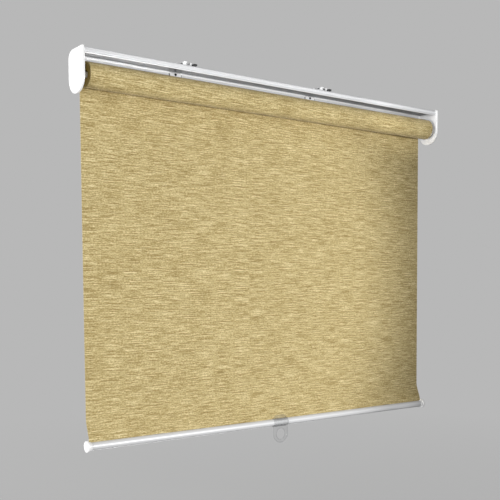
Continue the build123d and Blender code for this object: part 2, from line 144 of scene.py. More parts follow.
class Shop:
    """Makes one node material, or the world's."""

    def __init__(self, name: str, world: bool = False) -> None:
        """Start an empty material or world.

        Args:
            name: its name.
            world: True for a world.
        """
        library = bpy.data.worlds if world else bpy.data.materials
        kind = "ShaderNodeOutputWorld" if world else "ShaderNodeOutputMaterial"
        self.material = library.new(name)
        self.material.use_nodes = True
        self.tree = self.material.node_tree
        self.tree.nodes.clear()
        self.output = self.tree.nodes.new(kind)

    def node(
        self,
        kind: str,
        settings: dict[str, object] | None = None,
        inputs: dict[int | str, object] | None = None,
        output: int | str = 0,
    ) -> Signal:
        """Add any node.

        Args:
            kind: the node's type name.
            settings: its properties, and "stops" for a colour ramp.
            inputs: values or signals for its sockets.
            output: the socket to return.

        Returns:
            One output of the node.
        """
        made = self.tree.nodes.new(kind)
        for key, value in (settings or {}).items():
            if key == "stops":
                self._set_stops(made.color_ramp, value)
            else:
                setattr(made, key, value)
        for key, value in (inputs or {}).items():
            if isinstance(value, Signal):
                self.tree.links.new(value.socket, made.inputs[key])
            else:
                made.inputs[key].default_value = value
        return Signal(self, made.outputs[output])

    @staticmethod
    def _set_stops(ramp: bpy.types.ColorRamp, stops: Sequence[tuple]) -> None:
        """Give a colour ramp its stops.

        Args:
            ramp: the ramp to fill.
            stops: pairs of a position and a colour.
        """
        while len(ramp.elements) < len(stops):
            ramp.elements.new(1.0)
        for element, (position, colour) in zip(ramp.elements, stops):
            element.position = position
            element.color = colour

    def coordinates(self, kind: str, scale: Place) -> Signal:
        """Object or UV coordinates, stretched.

        Args:
            kind: "Object" or "UV".
            scale: factors along the three axes.

        Returns:
            The stretched coordinates.
        """
        source = self.node("ShaderNodeTexCoord", output=kind)
        return self.node("ShaderNodeMapping", inputs={"Vector": source, "Scale": scale})

    def noise(self, at: Signal, detail: float = 3.0, roughness: float = 0.55) -> Signal:
        """Fractal noise from 0 to 1 at unit scale."""
        values = {"Vector": at, "Scale": 1.0, "Detail": detail, "Roughness": roughness}
        return self.node("ShaderNodeTexNoise", inputs=values)

    def spread(self, value: Signal, low: float, high: float) -> Signal:
        """Stretch the part of a signal between low and high to 0 to 1."""
        values = {"Value": value, "From Min": low, "From Max": high}
        return self.node("ShaderNodeMapRange", {"clamp": True}, values)

    def mix(self, share: object, first: object, second: object) -> Signal:
        """Blend two colours."""
        settings = {"data_type": "RGBA"}
        return self.node("ShaderNodeMix", settings, {0: share, 6: first, 7: second}, output=2)

    def bump(self, height: Signal, distance: float, strength: float = 1.0) -> Signal:
        """Normal of a surface raised by a height signal."""
        values = {"Height": height, "Distance": distance, "Strength": strength}
        return self.node("ShaderNodeBump", inputs=values)

    def surface(self, **inputs: object) -> bpy.types.Material:
        """Finish the material with one principled shader.

        Args:
            inputs: socket values, with underscores for spaces in their names.

        Returns:
            The material.
        """
        named = {key.replace("_", " "): value for key, value in inputs.items()}
        shader = self.node("ShaderNodeBsdfPrincipled", inputs=named, output="BSDF")
        self.tree.links.new(shader.socket, self.output.inputs["Surface"])
        return self.material


# ---------------------------------------------------------------------------------------
# Finishes
# ---------------------------------------------------------------------------------------
Colour = tuple[float, float, float, float]


@dataclass(frozen=True)
class SlubCloth:
    """Golden blackout cloth with uneven horizontal slub yarns."""

    name: str = "slub_cloth"
    deep: Colour = (0.285, 0.205, 0.072, 1.0)
    middle: Colour = (0.475, 0.370, 0.160, 1.0)
    pale: Colour = (0.76, 0.645, 0.36, 1.0)
    yarns_per_metre: float = 1500.0
    warps_per_metre: float = 1500.0
    roughness: float = 0.82
    shine: float = 0.18
    weave_share: float = 0.25
    relief: float = 0.35 * MM

    def build(self) -> bpy.types.Material:
        """Make the cloth's material on the UV map, whose units are metres.

        Returns:
            The material.
        """
        shop = Shop(self.name)
        long_slubs = shop.noise(shop.coordinates("UV", (26.0, 620.0, 1.0)), 2.0, 0.5)
        short_slubs = shop.noise(shop.coordinates("UV", (95.0, 760.0, 1.0)), 3.0, 0.6)
        flecks = shop.noise(shop.coordinates("UV", (330.0, 640.0, 1.0)), 2.0, 0.6)
        clouds = shop.noise(shop.coordinates("UV", (9.0, 26.0, 1.0)), 2.0, 0.5)
        fine_slubs = shop.noise(shop.coordinates("UV", (30.0, 1250.0, 1.0)), 2.0, 0.6)
        tone = (
            shop.spread(long_slubs, 0.32, 0.68) * 0.26
            + shop.spread(short_slubs, 0.30, 0.70) * 0.32
            + shop.spread(fine_slubs, 0.32, 0.68) * 0.46
            + shop.spread(flecks, 0.30, 0.70) * 0.40
            + shop.spread(clouds, 0.30, 0.70) * 0.05
            - 0.245
        )
        stops = ((0.23, self.deep), (0.50, self.middle), (0.77, self.pale))
        colour = shop.node("ShaderNodeValToRGB", {"stops": stops}, {0: tone})
        height = tone * (1.0 - self.weave_share) + self._weave(shop) * self.weave_share
        return shop.surface(
            Base_Color=colour,
            Roughness=self.roughness - shop.spread(tone, 0.5, 0.9) * self.shine,
            Normal=shop.bump(height, self.relief, 0.8),
            Sheen_Weight=0.12,
            Sheen_Roughness=0.4,
            Specular_IOR_Level=0.28,
        )

    def _weave(self, shop: Shop) -> Signal:
        """Plain weave of yarn crowns.

        Args:
            shop: the material being made.

        Returns:
            Height from 0 to 1.
        """
        one_wave_per_unit = 0.05 * math.tau
        yarns = []
        for direction, scale in (
            ("X", (self.warps_per_metre, 1.0, 1.0)),
            ("Y", (1.0, self.yarns_per_metre, 1.0)),
        ):
            settings = {
                "wave_type": "BANDS",
                "bands_direction": direction,
                "wave_profile": "SIN",
            }
            at = shop.coordinates("UV", scale)
            values = {"Vector": at, "Scale": one_wave_per_unit, "Distortion": 0.0}
            yarns.append(shop.node("ShaderNodeTexWave", settings, values))
        return yarns[0] * yarns[1]


@dataclass(frozen=True)
class DrawnMetal:
    """Extruded or drawn metal with fine lines along its length."""

    name: str
    colour: Colour
    roughness: float
    metallic: float = 1.0
    line_depth: float = 0.006 * MM
    contrast: float = 0.05

    def build(self) -> bpy.types.Material:
        """Make the metal's material on Object coordinates.

        Returns:
            The material.
        """
        shop = Shop(self.name)
        lines = shop.noise(shop.coordinates("Object", (3.0, 2400.0, 2400.0)), 3.0, 0.6)
        smudges = shop.noise(shop.coordinates("Object", (18.0, 60.0, 60.0)), 3.0, 0.5)
        darker = tuple(c * (1.0 - self.contrast) for c in self.colour[:3]) + (1.0,)
        colour = self.tone(shop, shop.mix(shop.spread(lines, 0.3, 0.7), darker, self.colour))
        rough = self.roughness + (smudges - 0.5) * 0.10 + (lines - 0.5) * 0.08
        return shop.surface(
            Base_Color=colour,
            Roughness=rough,
            Metallic=self.metallic,
            Normal=shop.bump(lines, self.line_depth, 0.5),
        )

    def tone(self, shop: Shop, colour: Signal) -> Signal:
        """Colour of the metal, the same everywhere."""
        return colour


@dataclass(frozen=True)
class RailMetal(DrawnMetal):
    """Anodised rail with painted shade on its inner roof and a painted highlight on the bead behind
    it.
    """

    # Painted shade for the channel's roof, which faces down.
    dull: Colour = (0.13, 0.132, 0.136, 1.0)
    # Painted highlight for the rear bead.
    bright: Colour = (0.97, 0.97, 0.97, 1.0)
    roof_margin: float = 0.5 * MM
    lip_depth: float = 1.7 * MM
    skin: float = 0.1 * MM

    def tone(self, shop: Shop, colour: Signal) -> Signal:
        """Paint shade on the roof of the channel and a highlight on the bead behind it.

        Args:
            shop: the material being made.
            colour: the anodised colour.

        Returns:
            The colour with its painted roof shade and painted bead highlight.
        """
        low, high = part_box("head_rail")
        roof = high.z - HeadRail.rib_height - HeadRail.wall
        source = shop.node("ShaderNodeTexCoord", output="Object")
        height = shop.node("ShaderNodeSeparateXYZ", inputs={0: source}, output="Z")
        depth = shop.node("ShaderNodeSeparateXYZ", inputs={0: source}, output="Y")
        front = low.y + self.lip_depth
        wall = high.y - HeadRail.wall
        bead_front = wall - 2.0 * HeadRail.rear_bead
        bead_foot = roof - HeadRail.rear_bead_drop - HeadRail.rear_bead
        # Painted shade mask: the roof inside the channel, from behind the front lip to the rear
        # bead.
        inside = height.above(roof - self.roof_margin) * height.below(roof + self.roof_margin)
        inside = inside * depth.above(front) * depth.below(bead_front)
        # Painted highlight mask: the rear bead under the roof.
        bead = height.above(bead_foot) * height.below(roof - self.roof_margin)
        bead = bead * depth.above(bead_front) * depth.below(wall - self.skin)
        return shop.mix(bead, shop.mix(inside, colour, self.dull), self.bright)


@dataclass(frozen=True)
class BarMetal(DrawnMetal):
    """Anodised bar with a painted grey shade line in its groove."""

    # Painted shade: grey in the groove, standing in for the shade along the bar's lower edge.
    line: Colour = (0.26, 0.26, 0.265, 1.0)
    skin: float = 0.2 * MM

    def tone(self, shop: Shop, colour: Signal) -> Signal:
        """Paint grey shade on what lies under the bar's outer skin, the groove below its front and
        the bore.

        Args:
            shop: the material being made.
            colour: the anodised colour.

        Returns:
            The colour with its painted shade line.
        """
        bar = Round.of("bottom_bar")
        source = shop.node("ShaderNodeTexCoord", output="Object")
        centre = (0.0, bar.y, Round.of("hem_rod").z)
        off = shop.node("ShaderNodeVectorMath", {"operation": "SUBTRACT"}, {0: source, 1: centre})
        flat = shop.node("ShaderNodeVectorMath", {"operation": "MULTIPLY"}, {0: off, 1: (0, 1, 1)})
        reach = shop.node("ShaderNodeVectorMath", {"operation": "LENGTH"}, {0: flat}, "Value")
        # Painted shade line: grey wherever the surface lies inside the outer skin.
        return shop.mix(reach.below(bar.radius - self.skin), colour, self.line)


@dataclass(frozen=True)
class MouldedPlastic:
    """Injection-moulded plastic with a faint skin texture."""

    name: str
    colour: Colour
    roughness: float
    grain: float = 900.0
    depth: float = 0.01 * MM
    subsurface: float = 0.0

    def build(self) -> bpy.types.Material:
        """Make the plastic's material on Object coordinates.

        Returns:
            The material.
        """
        shop = Shop(self.name)
        grain = (self.grain, self.grain, self.grain)
        skin = shop.noise(shop.coordinates("Object", grain), 2.0, 0.5)
        flow = shop.noise(shop.coordinates("Object", (24.0, 24.0, 24.0)), 2.0, 0.5)
        shade = tuple(c * 0.955 for c in self.colour[:3]) + (1.0,)
        return shop.surface(
            Base_Color=shop.mix(shop.spread(flow, 0.3, 0.7), shade, self.colour),
            Roughness=self.roughness + (flow - 0.5) * 0.12 + (skin - 0.5) * 0.06,
            Normal=shop.bump(skin, self.depth, 0.4),
            Subsurface_Weight=self.subsurface,
            Subsurface_Scale=0.002,
        )


@dataclass(frozen=True)
class ZincPlate:
    """Zinc-plated sheet with a soft spangle."""

    name: str
    colour: Colour
    roughness: float = 0.32
    metallic: float = 1.0
    relief: float = 0.01 * MM

    def build(self) -> bpy.types.Material:
        """Make the plating's material on Object coordinates.

        Returns:
            The material.
        """
        shop = Shop(self.name)
        at = shop.coordinates("Object", (380.0, 380.0, 380.0))
        spangle = shop.node("ShaderNodeTexVoronoi", {"feature": "F1"}, {"Vector": at, "Scale": 1.0})
        haze = shop.noise(shop.coordinates("Object", (70.0, 70.0, 70.0)), 4.0, 0.6)
        shade = tuple(c * 0.80 for c in self.colour[:3]) + (1.0,)
        return shop.surface(
            Base_Color=shop.mix(shop.spread(haze, 0.3, 0.7), shade, self.colour),
            Roughness=self.roughness + spangle * 0.10 + (haze - 0.5) * 0.15,
            Metallic=self.metallic,
            Normal=shop.bump(spangle, self.relief, 0.3),
        )


@dataclass(frozen=True)
class ClearPlastic:
    """Clear moulded plastic, see-through where it is seen square on."""

    name: str = "clear_plastic"
    tint: Colour = (0.29, 0.295, 0.30, 1.0)
    haze_tint: Colour = (0.22, 0.225, 0.23, 1.0)
    body: float = 0.03
    edge: float = 1.5
    relief: float = 0.05 * MM

    def build(self) -> bpy.types.Material:
        """Make the clear plastic's material on Object coordinates.

        Returns:
            The material.
        """
        shop = Shop(self.name)
        ripple = shop.noise(shop.coordinates("Object", (420.0, 420.0, 420.0)), 2.0, 0.5)
        haze = shop.noise(shop.coordinates("Object", (90.0, 90.0, 90.0)), 2.0, 0.5)
        slope = shop.node("ShaderNodeLayerWeight", inputs={"Blend": 0.5}, output="Facing")
        return shop.surface(
            Base_Color=shop.mix(shop.spread(haze, 0.3, 0.7), self.haze_tint, self.tint),
            Roughness=0.05 + haze * 0.07,
            Alpha=self.body + slope * slope * self.edge,
            Normal=shop.bump(ripple, self.relief, 0.25),
            Specular_IOR_Level=0.5,
            Coat_Weight=1.0,
            Coat_Roughness=0.03,
        )


class Finish(Enum):
    """The object's finishes, by what they are on."""

    CLOTH = SlubCloth()
    RAIL = RailMetal("rail_anodising", (0.77, 0.775, 0.785, 1.0), 0.32, 0.20)
    BAR = BarMetal("bar_anodising", (0.69, 0.695, 0.70, 1.0), 0.42, 0.10)
    TUBE = DrawnMetal("mill_tube", (0.62, 0.63, 0.64, 1.0), 0.38)
    COVER = MouldedPlastic("white_cover", (0.90, 0.90, 0.895, 1.0), 0.28)
    CAP = MouldedPlastic("white_cap", (0.89, 0.89, 0.885, 1.0), 0.25)
    NYLON = MouldedPlastic("white_nylon", (0.90, 0.90, 0.89, 1.0), 0.36, subsurface=0.1)
    DARK_NYLON = MouldedPlastic("dark_nylon", (0.30, 0.205, 0.03, 1.0), 0.50, 1400.0, 0.03 * MM)
    BLACK = MouldedPlastic("black_acetal", (0.018, 0.018, 0.019, 1.0), 0.38)
    PLATE = MouldedPlastic("plate_powder_coat", (0.86, 0.86, 0.865, 1.0), 0.42, 2200.0, 0.03 * MM)
    LACQUER = MouldedPlastic("white_lacquer", (0.90, 0.90, 0.91, 1.0), 0.35)
    BRACKET = ZincPlate("bracket_zinc", (0.93, 0.935, 0.94, 1.0), 0.30, 0.45)
    SCREW = ZincPlate("screw_zinc", (0.70, 0.70, 0.71, 1.0), 0.26)
    BLACK_SCREW = ZincPlate("black_oxide", (0.02, 0.02, 0.022, 1.0), 0.36)
    SHAFT = DrawnMetal("bright_shaft", (0.66, 0.66, 0.67, 1.0), 0.22)
    SPRING = DrawnMetal("spring_wire", (0.33, 0.33, 0.35, 1.0), 0.34)
    CLEAR = ClearPlastic()
    TAPE = MouldedPlastic("mounting_tape", (0.72, 0.66, 0.46, 1.0), 0.6)
    ROD = MouldedPlastic("hem_rod", (0.70, 0.70, 0.68, 1.0), 0.45)

    @cached_property
    def material(self) -> bpy.types.Material:
        """The finish's material, made on first use."""
        return self.value.build()


# ---------------------------------------------------------------------------------------
# Bench work: the modelling moves that every part uses
# ---------------------------------------------------------------------------------------
def arc(centre: Point, radius: float, start: float, end: float, steps: int) -> list[Point]:
    """Points along an arc.

    Args:
        centre: the arc's centre.
        radius: its radius.
        start: first angle in degrees.
        end: last angle in degrees.
        steps: number of chords.

    Returns:
        The points, both ends included.
    """
    found = []
    for step in range(steps + 1):
        angle = math.radians(start + (end - start) * step / steps)
        found.append((centre[0] + radius * math.cos(angle), centre[1] + radius * math.sin(angle)))
    return found


def clear_selection() -> None:
    """Deselect everything."""
    if bpy.context.mode != "OBJECT":
        bpy.ops.object.mode_set(mode="OBJECT")
    bpy.ops.object.select_all(action="DESELECT")


def make_active(piece: bpy.types.Object) -> None:
    """Select one object alone and make it active.

    Args:
        piece: the object.
    """
    clear_selection()
    piece.select_set(True)
    bpy.context.view_layer.objects.active = piece


@contextmanager
def editing(piece: bpy.types.Object, select: str = "SELECT") -> Iterator[None]:
    """Work in edit mode on one object.

    Args:
        piece: the mesh object.
        select: "SELECT" or "DESELECT" for its elements at the start.
    """
    make_active(piece)
    bpy.ops.object.mode_set(mode="EDIT")
    bpy.ops.mesh.select_mode(type="VERT")
    bpy.ops.mesh.select_all(action=select)
    yield
    bpy.ops.object.mode_set(mode="OBJECT")


def name_new(name: str) -> bpy.types.Object:
    """Name the primitive just added, and its mesh.

    Args:
        name: the name for both.

    Returns:
        The primitive.
    """
    piece = bpy.context.active_object
    piece.name = name
    piece.data.name = name
    return piece


def draw_path(name: str, points: Sequence[Vector], closed: bool) -> bpy.types.Object:
    """Draw a line of edges from point to point.

    Args:
        name: the new object's name.
        points: its points in order.
        closed: True to close it and fill it with a face.

    Returns:
        The new object.
    """
    clear_selection()
    bpy.ops.mesh.primitive_plane_add(size=MM, location=points[0])
    piece = name_new(name)
    bpy.ops.object.transform_apply(location=True, rotation=False, scale=False)
    with editing(piece):
        bpy.ops.mesh.merge(type="CENTER")
        for before, after in zip(points, points[1:]):
            bpy.ops.mesh.extrude_vertices_move(TRANSFORM_OT_translate={"value": after - before})
        if closed:
            bpy.ops.mesh.select_all(action="SELECT")
            bpy.ops.mesh.edge_face_add()
    return piece


def across(x: float, points: Sequence[Point]) -> list[Vector]:
    """Turn (y, z) points into places in the plane at x."""
    return [Vector((x, y, z)) for y, z in points]


def pull(piece: bpy.types.Object, move: Vector) -> None:
    """Extrude a flat outline.

    Args:
        piece: the outline, filled with a face.
        move: how far, and which way.
    """
    with editing(piece):
        bpy.ops.mesh.select_mode(type="FACE")
        bpy.ops.mesh.select_all(action="SELECT")
        bpy.ops.mesh.extrude_region_move(TRANSFORM_OT_translate={"value": move})


def pull_edges(piece: bpy.types.Object, move: Vector, cuts: int = 0) -> None:
    """Extrude an open line in equal strips.

    Args:
        piece: the line of edges.
        move: how far, and which way.
        cuts: number of cuts between the strips.
    """
    with editing(piece):
        for _ in range(cuts + 1):
            step = move / (cuts + 1)
            bpy.ops.mesh.extrude_region_move(TRANSFORM_OT_translate={"value": step})


def modify(piece: bpy.types.Object, kind: str, **settings: object) -> None:
    """Add a modifier and apply it.

    Args:
        piece: the mesh object.
        kind: the modifier's type.
        settings: its properties.
    """
    make_active(piece)
    modifier = piece.modifiers.new(kind.lower(), kind)
    for key, value in settings.items():
        setattr(modifier, key, value)
    bpy.ops.object.modifier_apply(modifier=modifier.name)


def soften(piece: bpy.types.Object, width: float, segments: int = 2) -> None:
    """Round the sharp edges of a piece.

    Args:
        piece: the mesh object.
        width: width of the rounding.
        segments: number of faces across it.
    """
    modify(
        piece,
        "BEVEL",
        width=width,
        segments=segments,
        limit_method="ANGLE",
        angle_limit=math.radians(35),
        use_clamp_overlap=True,
    )


def set_faces_out(piece: bpy.types.Object) -> None:
    """Merge doubles and point the faces outwards.

    Args:
        piece: the mesh object.
    """
    with editing(piece):
        bpy.ops.mesh.remove_doubles(threshold=WELD)
        bpy.ops.mesh.normals_make_consistent(inside=False)


def shade(piece: bpy.types.Object, angle: float = 32.0) -> None:
    """Shade smooth, but keep sharp edges.

    Args:
        piece: the mesh object.
        angle: the angle in degrees past which an edge is sharp.
    """
    make_active(piece)
    bpy.ops.object.shade_smooth_by_angle(angle=math.radians(angle))
    modify(piece, "WEIGHTED_NORMAL", keep_sharp=True)


def bar_of(name: str, x: float, length: float, outline: Sequence[Point]) -> bpy.types.Object:
    """Closed section run along X.

    Args:
        name: the new object's name.
        x: where it starts.
        length: how long it is.
        outline: the section's (y, z) points in order.

    Returns:
        The new object.
    """
    piece = draw_path(name, across(x, outline), closed=True)
    pull(piece, Vector((length, 0.0, 0.0)))
    set_faces_out(piece)
    return piece


def turned(name: str, axis: Point, profile: Sequence[Point], steps: int = 56) -> bpy.types.Object:
    """Part turned on a lathe about an X axis.

    Args:
        name: the new object's name.
        axis: the axis's (y, z).
        profile: (x, radius) points in order, closed on themselves or on the axis.
        steps: number of flats round the part.

    Returns:
        The new object.
    """
    points = [Vector((x, axis[0], axis[1] + radius)) for x, radius in profile]
    piece = draw_path(name, points, closed=False)
    with editing(piece):
        bpy.ops.mesh.spin(
            steps=steps,
            angle=math.tau,
            center=(0.0, axis[0], axis[1]),
            axis=(1.0, 0.0, 0.0),
        )
    set_faces_out(piece)
    return piece


def joined(name: str, pieces: Sequence[bpy.types.Object]) -> bpy.types.Object:
    """Join several meshes into the first.

    Args:
        name: the joined object's name.
        pieces: the meshes.

    Returns:
        The joined object.
    """
    clear_selection()
    for piece in pieces:
        piece.select_set(True)
    bpy.context.view_layer.objects.active = pieces[0]
    bpy.ops.object.join()
    return name_new(name)


def cut_away(piece: bpy.types.Object, cutter: bpy.types.Object) -> None:
    """Take a cutter's volume out of a piece and remove the cutter."""
    modify(piece, "BOOLEAN", operation="DIFFERENCE", object=cutter, solver="EXACT")
    bpy.data.objects.remove(cutter)


def drill(piece: bpy.types.Object, at: Vector, radius: float, depth: float, turn: Vector) -> None:
    """Drill a round hole.

    Args:
        piece: the mesh object.
        at: the hole's middle.
        radius: its radius.
        depth: its whole depth.
        turn: Euler angles that turn Z on to the hole's axis.
    """
    clear_selection()
    bpy.ops.mesh.primitive_cylinder_add(
        vertices=40, radius=radius, depth=depth, location=at, rotation=turn
    )
    cut_away(piece, name_new("drill"))


def lay_weave(piece: bpy.types.Object, along: Callable[[Vector], float]) -> None:
    """Give a cloth its UV map, in metres.

    Args:
        piece: the cloth.
        along: distance down the cloth at a place.
    """
    while piece.data.uv_layers:
        piece.data.uv_layers.remove(piece.data.uv_layers[0])
    layer = piece.data.uv_layers.new(name="weave")
    for loop in piece.data.loops:
        place = piece.data.vertices[loop.vertex_index].co
        layer.data[loop.index].uv = (place.x, along(place))


def dress(
    piece: bpy.types.Object,
    finish: Finish,
    body: str,
    replaces: Sequence[str] = (),
) -> bpy.types.Object:
    """Give a new piece its finish, body and the node it stands for.

    Args:
        piece: the finished mesh.
        finish: what it is coated with or made of.
        body: the body that it moves with.
        replaces: the nodes it stands for.

    Returns:
        The piece.
    """
    piece.data.materials.clear()
    piece.data.materials.append(finish.material)
    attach(piece, body)
    if replaces:
        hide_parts(*replaces)
    log.info("%s: %d faces, rides on %s", piece.name, len(piece.data.polygons), body)
    return piece


def recast(node: str, name: str, width: float) -> bpy.types.Object:
    """Copy a CAD node's shape, merged and with its sharp edges softened.

    Args:
        node: the node to copy.
        name: the copy's name.
        width: width of the softened edges.

    Returns:
        The copy.
    """
    clear_selection()
    piece = bpy.data.objects.new(name, frame["nodes"][node].data.copy())
    piece.data.name = name
    bpy.context.scene.collection.objects.link(piece)
    with editing(piece):
        bpy.ops.mesh.remove_doubles(threshold=FINE_WELD)
        bpy.ops.mesh.dissolve_limited(angle_limit=math.radians(1.0))
    soften(piece, width)
    shade(piece)
    return piece


def refinish(node: str, finish: Finish) -> None:
    """Give a CAD node a better material.

    Args:
        node: the node's name.
        finish: its finish.
    """
    mesh = frame["nodes"][node].data
    mesh.materials.clear()
    mesh.materials.append(finish.material)
    log.info("%s: %s", node, finish.value.name)


class Side(Enum):
    """Ends of the blind."""

    LEFT = -1
    RIGHT = 1

    @property
    def word(self) -> str:
        """The side's name, as in the nodes' names."""
        return self.name.lower()


# ---------------------------------------------------------------------------------------
# Places read from the frame
# ---------------------------------------------------------------------------------------
@dataclass(frozen=True)
class Round:
    """A round node that lies along X."""

    left: float
    right: float
    y: float
    z: float
    radius: float

    @classmethod
    def of(cls, node: str) -> "Round":
        """Read a round node's place and radius.

        Args:
            node: the node's name.

        Returns:
            Its place and radius.
        """
        low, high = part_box(node)
        centre = (low + high) / 2
        return cls(low.x, high.x, centre.y, centre.z, (high.y - low.y) / 2)

    @property
    def axis(self) -> Point:
        """The axis's (y, z)."""
        return (self.y, self.z)


# ---------------------------------------------------------------------------------------
# Head rail
# ---------------------------------------------------------------------------------------
@dataclass(frozen=True)
class Groove:
    """Shallow groove along the rail's face."""

    height: float
    slant: float
    depth: float = 0.35 * MM

    def section(self, front: float, top: float) -> list[Point]:
        """Section of the groove, from its top down.

        Args:
            front: the rail's face.
            top: the groove's upper edge.

        Returns:
            Its four (y, z) points.
        """
        floor, bottom = front + self.depth, top - self.height
        return [
            (front, top),
            (floor, top - self.slant),
            (floor, bottom + self.slant),
            (front, bottom),
        ]


@dataclass
class HeadRail:
    """Aluminium rail, open below, with beads, grooves and screw ports."""

    wall: float = 1.2 * MM
    bead: float = 1.1 * MM
    bead_offset: Point = (0.7 * MM, 0.3 * MM)
    port: float = 2.4 * MM
    port_bore: float = 1.45 * MM
    port_inset: float = 0.02 * MM
    rib_height: float = 1.6 * MM
    rib_hook: float = 2.2 * MM
    rib_skin: float = 0.6 * MM
    foot: float = 3.4 * MM
    front_inset: float = 0.4 * MM
    lip: float = 8.2 * MM
    slope: float = 1.3 * MM
    upper_groove: Groove = Groove(0.8 * MM, 0.20 * MM)
    upper_groove_drop: float = 1.6 * MM
    lower_groove: Groove = Groove(0.7 * MM, 0.15 * MM)
    lower_groove_rise: float = 2.5 * MM
    rear_bead: float = 0.9 * MM
    rear_bead_drop: float = 1.5 * MM
    front_port: Point = (3.8 * MM, 4.9 * MM)
    rear_port: Point = (2.8 * MM, 3.1 * MM)
    broken_edge: float = 0.10 * MM

    def outline(self) -> list[Point]:
        """Section of the rail, from the front rib round to it again.

        Returns:
            Its (y, z) points.
        """
        low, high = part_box("head_rail")
        top, back, bottom = high.z, high.y, low.z
        front = low.y + self.front_inset
        lip_bottom = top - self.lip
        under = top - self.rib_height - self.wall
        bead_centre = (front + self.bead_offset[0], lip_bottom + self.bead_offset[1])
        corner = (back - self.wall, under)
        return [
            (front + self.slope, top),
            *self.upper_groove.section(front, top - self.upper_groove_drop),
            *self.lower_groove.section(front, lip_bottom + self.lower_groove_rise),
            *arc(bead_centre, self.bead, 150, 400, 14),
            (front + self.wall, under),
            corner,
            *arc((corner[0], under - self.rear_bead_drop), self.rear_bead, 90, 270, 10),
            (back - self.wall, bottom + self.wall),
            (back - self.foot, bottom + self.wall),
            (back - self.foot, bottom),
            (back, bottom),
            (back, top - self.rib_height),
            (front + self.wall, top - self.rib_height),
            (front + self.wall, top - self.rib_skin),
            (front + self.rib_hook, top - self.rib_skin),
            (front + self.rib_hook, top),
        ]

    def screw_port(self, name: str, centre: Point) -> bpy.types.Object:
        """Tube for a screw inside the rail.

        Args:
            name: the tube's name.
            centre: its (y, z).

        Returns:
            The tube.
        """
        low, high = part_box("head_rail")
        left, right = low.x + self.port_inset, high.x - self.port_inset
        profile = [
            (left, self.port_bore),
            (left, self.port),
            (right, self.port),
            (right, self.port_bore),
            (left, self.port_bore),
        ]
        return turned(name, centre, profile, 24)

    def build(self) -> None:
        """Make the rail."""
        low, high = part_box("head_rail")
        rail = bar_of("head_rail_extrusion", low.x, high.x - low.x, self.outline())
        soften(rail, self.broken_edge)
        front = (low.y + self.front_port[0], high.z - self.front_port[1])
        rear = (high.y - self.rear_port[0], low.z + self.rear_port[1])
        ports = [self.screw_port("front_port", front), self.screw_port("rear_port", rear)]
        rail = joined("head_rail_extrusion", [rail, *ports])
        shade(rail)
        dress(rail, Finish.RAIL, "case", ["head_rail"])


# ---------------------------------------------------------------------------------------
# Ends of the case
# ---------------------------------------------------------------------------------------
@dataclass
class CaseEnd:
    """Cover, end plate and screws at one end of the case."""

    side: Side
    rear_corner: float = 13.0 * MM
    front_corner: float = 1.2 * MM
    cover_edge: float = 0.9 * MM
    plate_inset: float = 1.6 * MM
    plate_edge: float = 0.25 * MM
    bush_seat: float = 5.0 * MM
    shaft_seat: float = 2.6 * MM

    def outline(self, inset: float) -> list[Point]:
        """Closed outline in (y, z): square front corner, round back corner, round foot.

        Args:
            inset: distance inside the cover's edge.

        Returns:
            The outline's points.
        """
        low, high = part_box(f"end_cover_{self.side.word}")
        front, back = low.y + inset, high.y - inset
        top = high.z - inset
        foot = (high.y - low.y) / 2
        foot_centre = ((low.y + high.y) / 2, low.z + foot)
        corner = self.rear_corner - inset
        nose = self.front_corner
        return [
            *arc((front + nose, top - nose), nose, 180, 90, 4),
            *arc((back - corner, top - corner), corner, 90, 0, 18),
            *arc(foot_centre, foot - inset, 0, -180, 48),
        ]

    def build(self) -> None:
        """Make the end's pieces."""
        self._cover()
        self._plate()
        refinish(f"plate_screws_{self.side.word}", Finish.SCREW)

    def _cover(self) -> None:
        """Dished white cover with a soft outer edge."""
        word = self.side.word
        plate_low, plate_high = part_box(f"end_plate_{word}")
        low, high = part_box(f"end_cover_{word}")
        inner, outer = (plate_low.x, low.x) if self.side is Side.LEFT else (plate_high.x, high.x)
        cover = draw_path(f"end_cover_{word}_moulding", across(inner, self.outline(0.0)), True)
        pull(cover, Vector((outer - inner, 0.0, 0.0)))
        set_faces_out(cover)
        with editing(cover, "DESELECT"):
            bpy.ops.mesh.select_mode(type="FACE")
            bpy.ops.object.mode_set(mode="OBJECT")
            for face in cover.data.polygons:
                face.select = abs(face.center.x - outer) < SAME_PLACE
            bpy.ops.object.mode_set(mode="EDIT")
            bpy.ops.mesh.bevel(offset=self.cover_edge, segments=4, affect="EDGES")
        shade(cover, 40)
        dress(cover, Finish.COVER, "case", [f"end_cover_{word}"])

    def _plate(self) -> None:
        """Powder-coated bearing plate with a hole for the roller's seat."""
        word = self.side.word
        low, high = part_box(f"end_plate_{word}")
        outline = across(low.x, self.outline(self.plate_inset))
        plate = draw_path(f"end_plate_{word}_pressing", outline, closed=True)
        pull(plate, Vector((high.x - low.x, 0.0, 0.0)))
        set_faces_out(plate)
        soften(plate, self.plate_edge)
        roller = Round.of("roller_tube")
        seat = self.bush_seat if self.side is Side.LEFT else self.shaft_seat
        middle = Vector(((low.x + high.x) / 2, roller.y, roller.z))
        drill(plate, middle, seat, THROUGH, Vector((0.0, math.pi / 2, 0.0)))
        shade(plate, 30)
        dress(plate, Finish.PLATE, "case", [f"end_plate_{word}"])


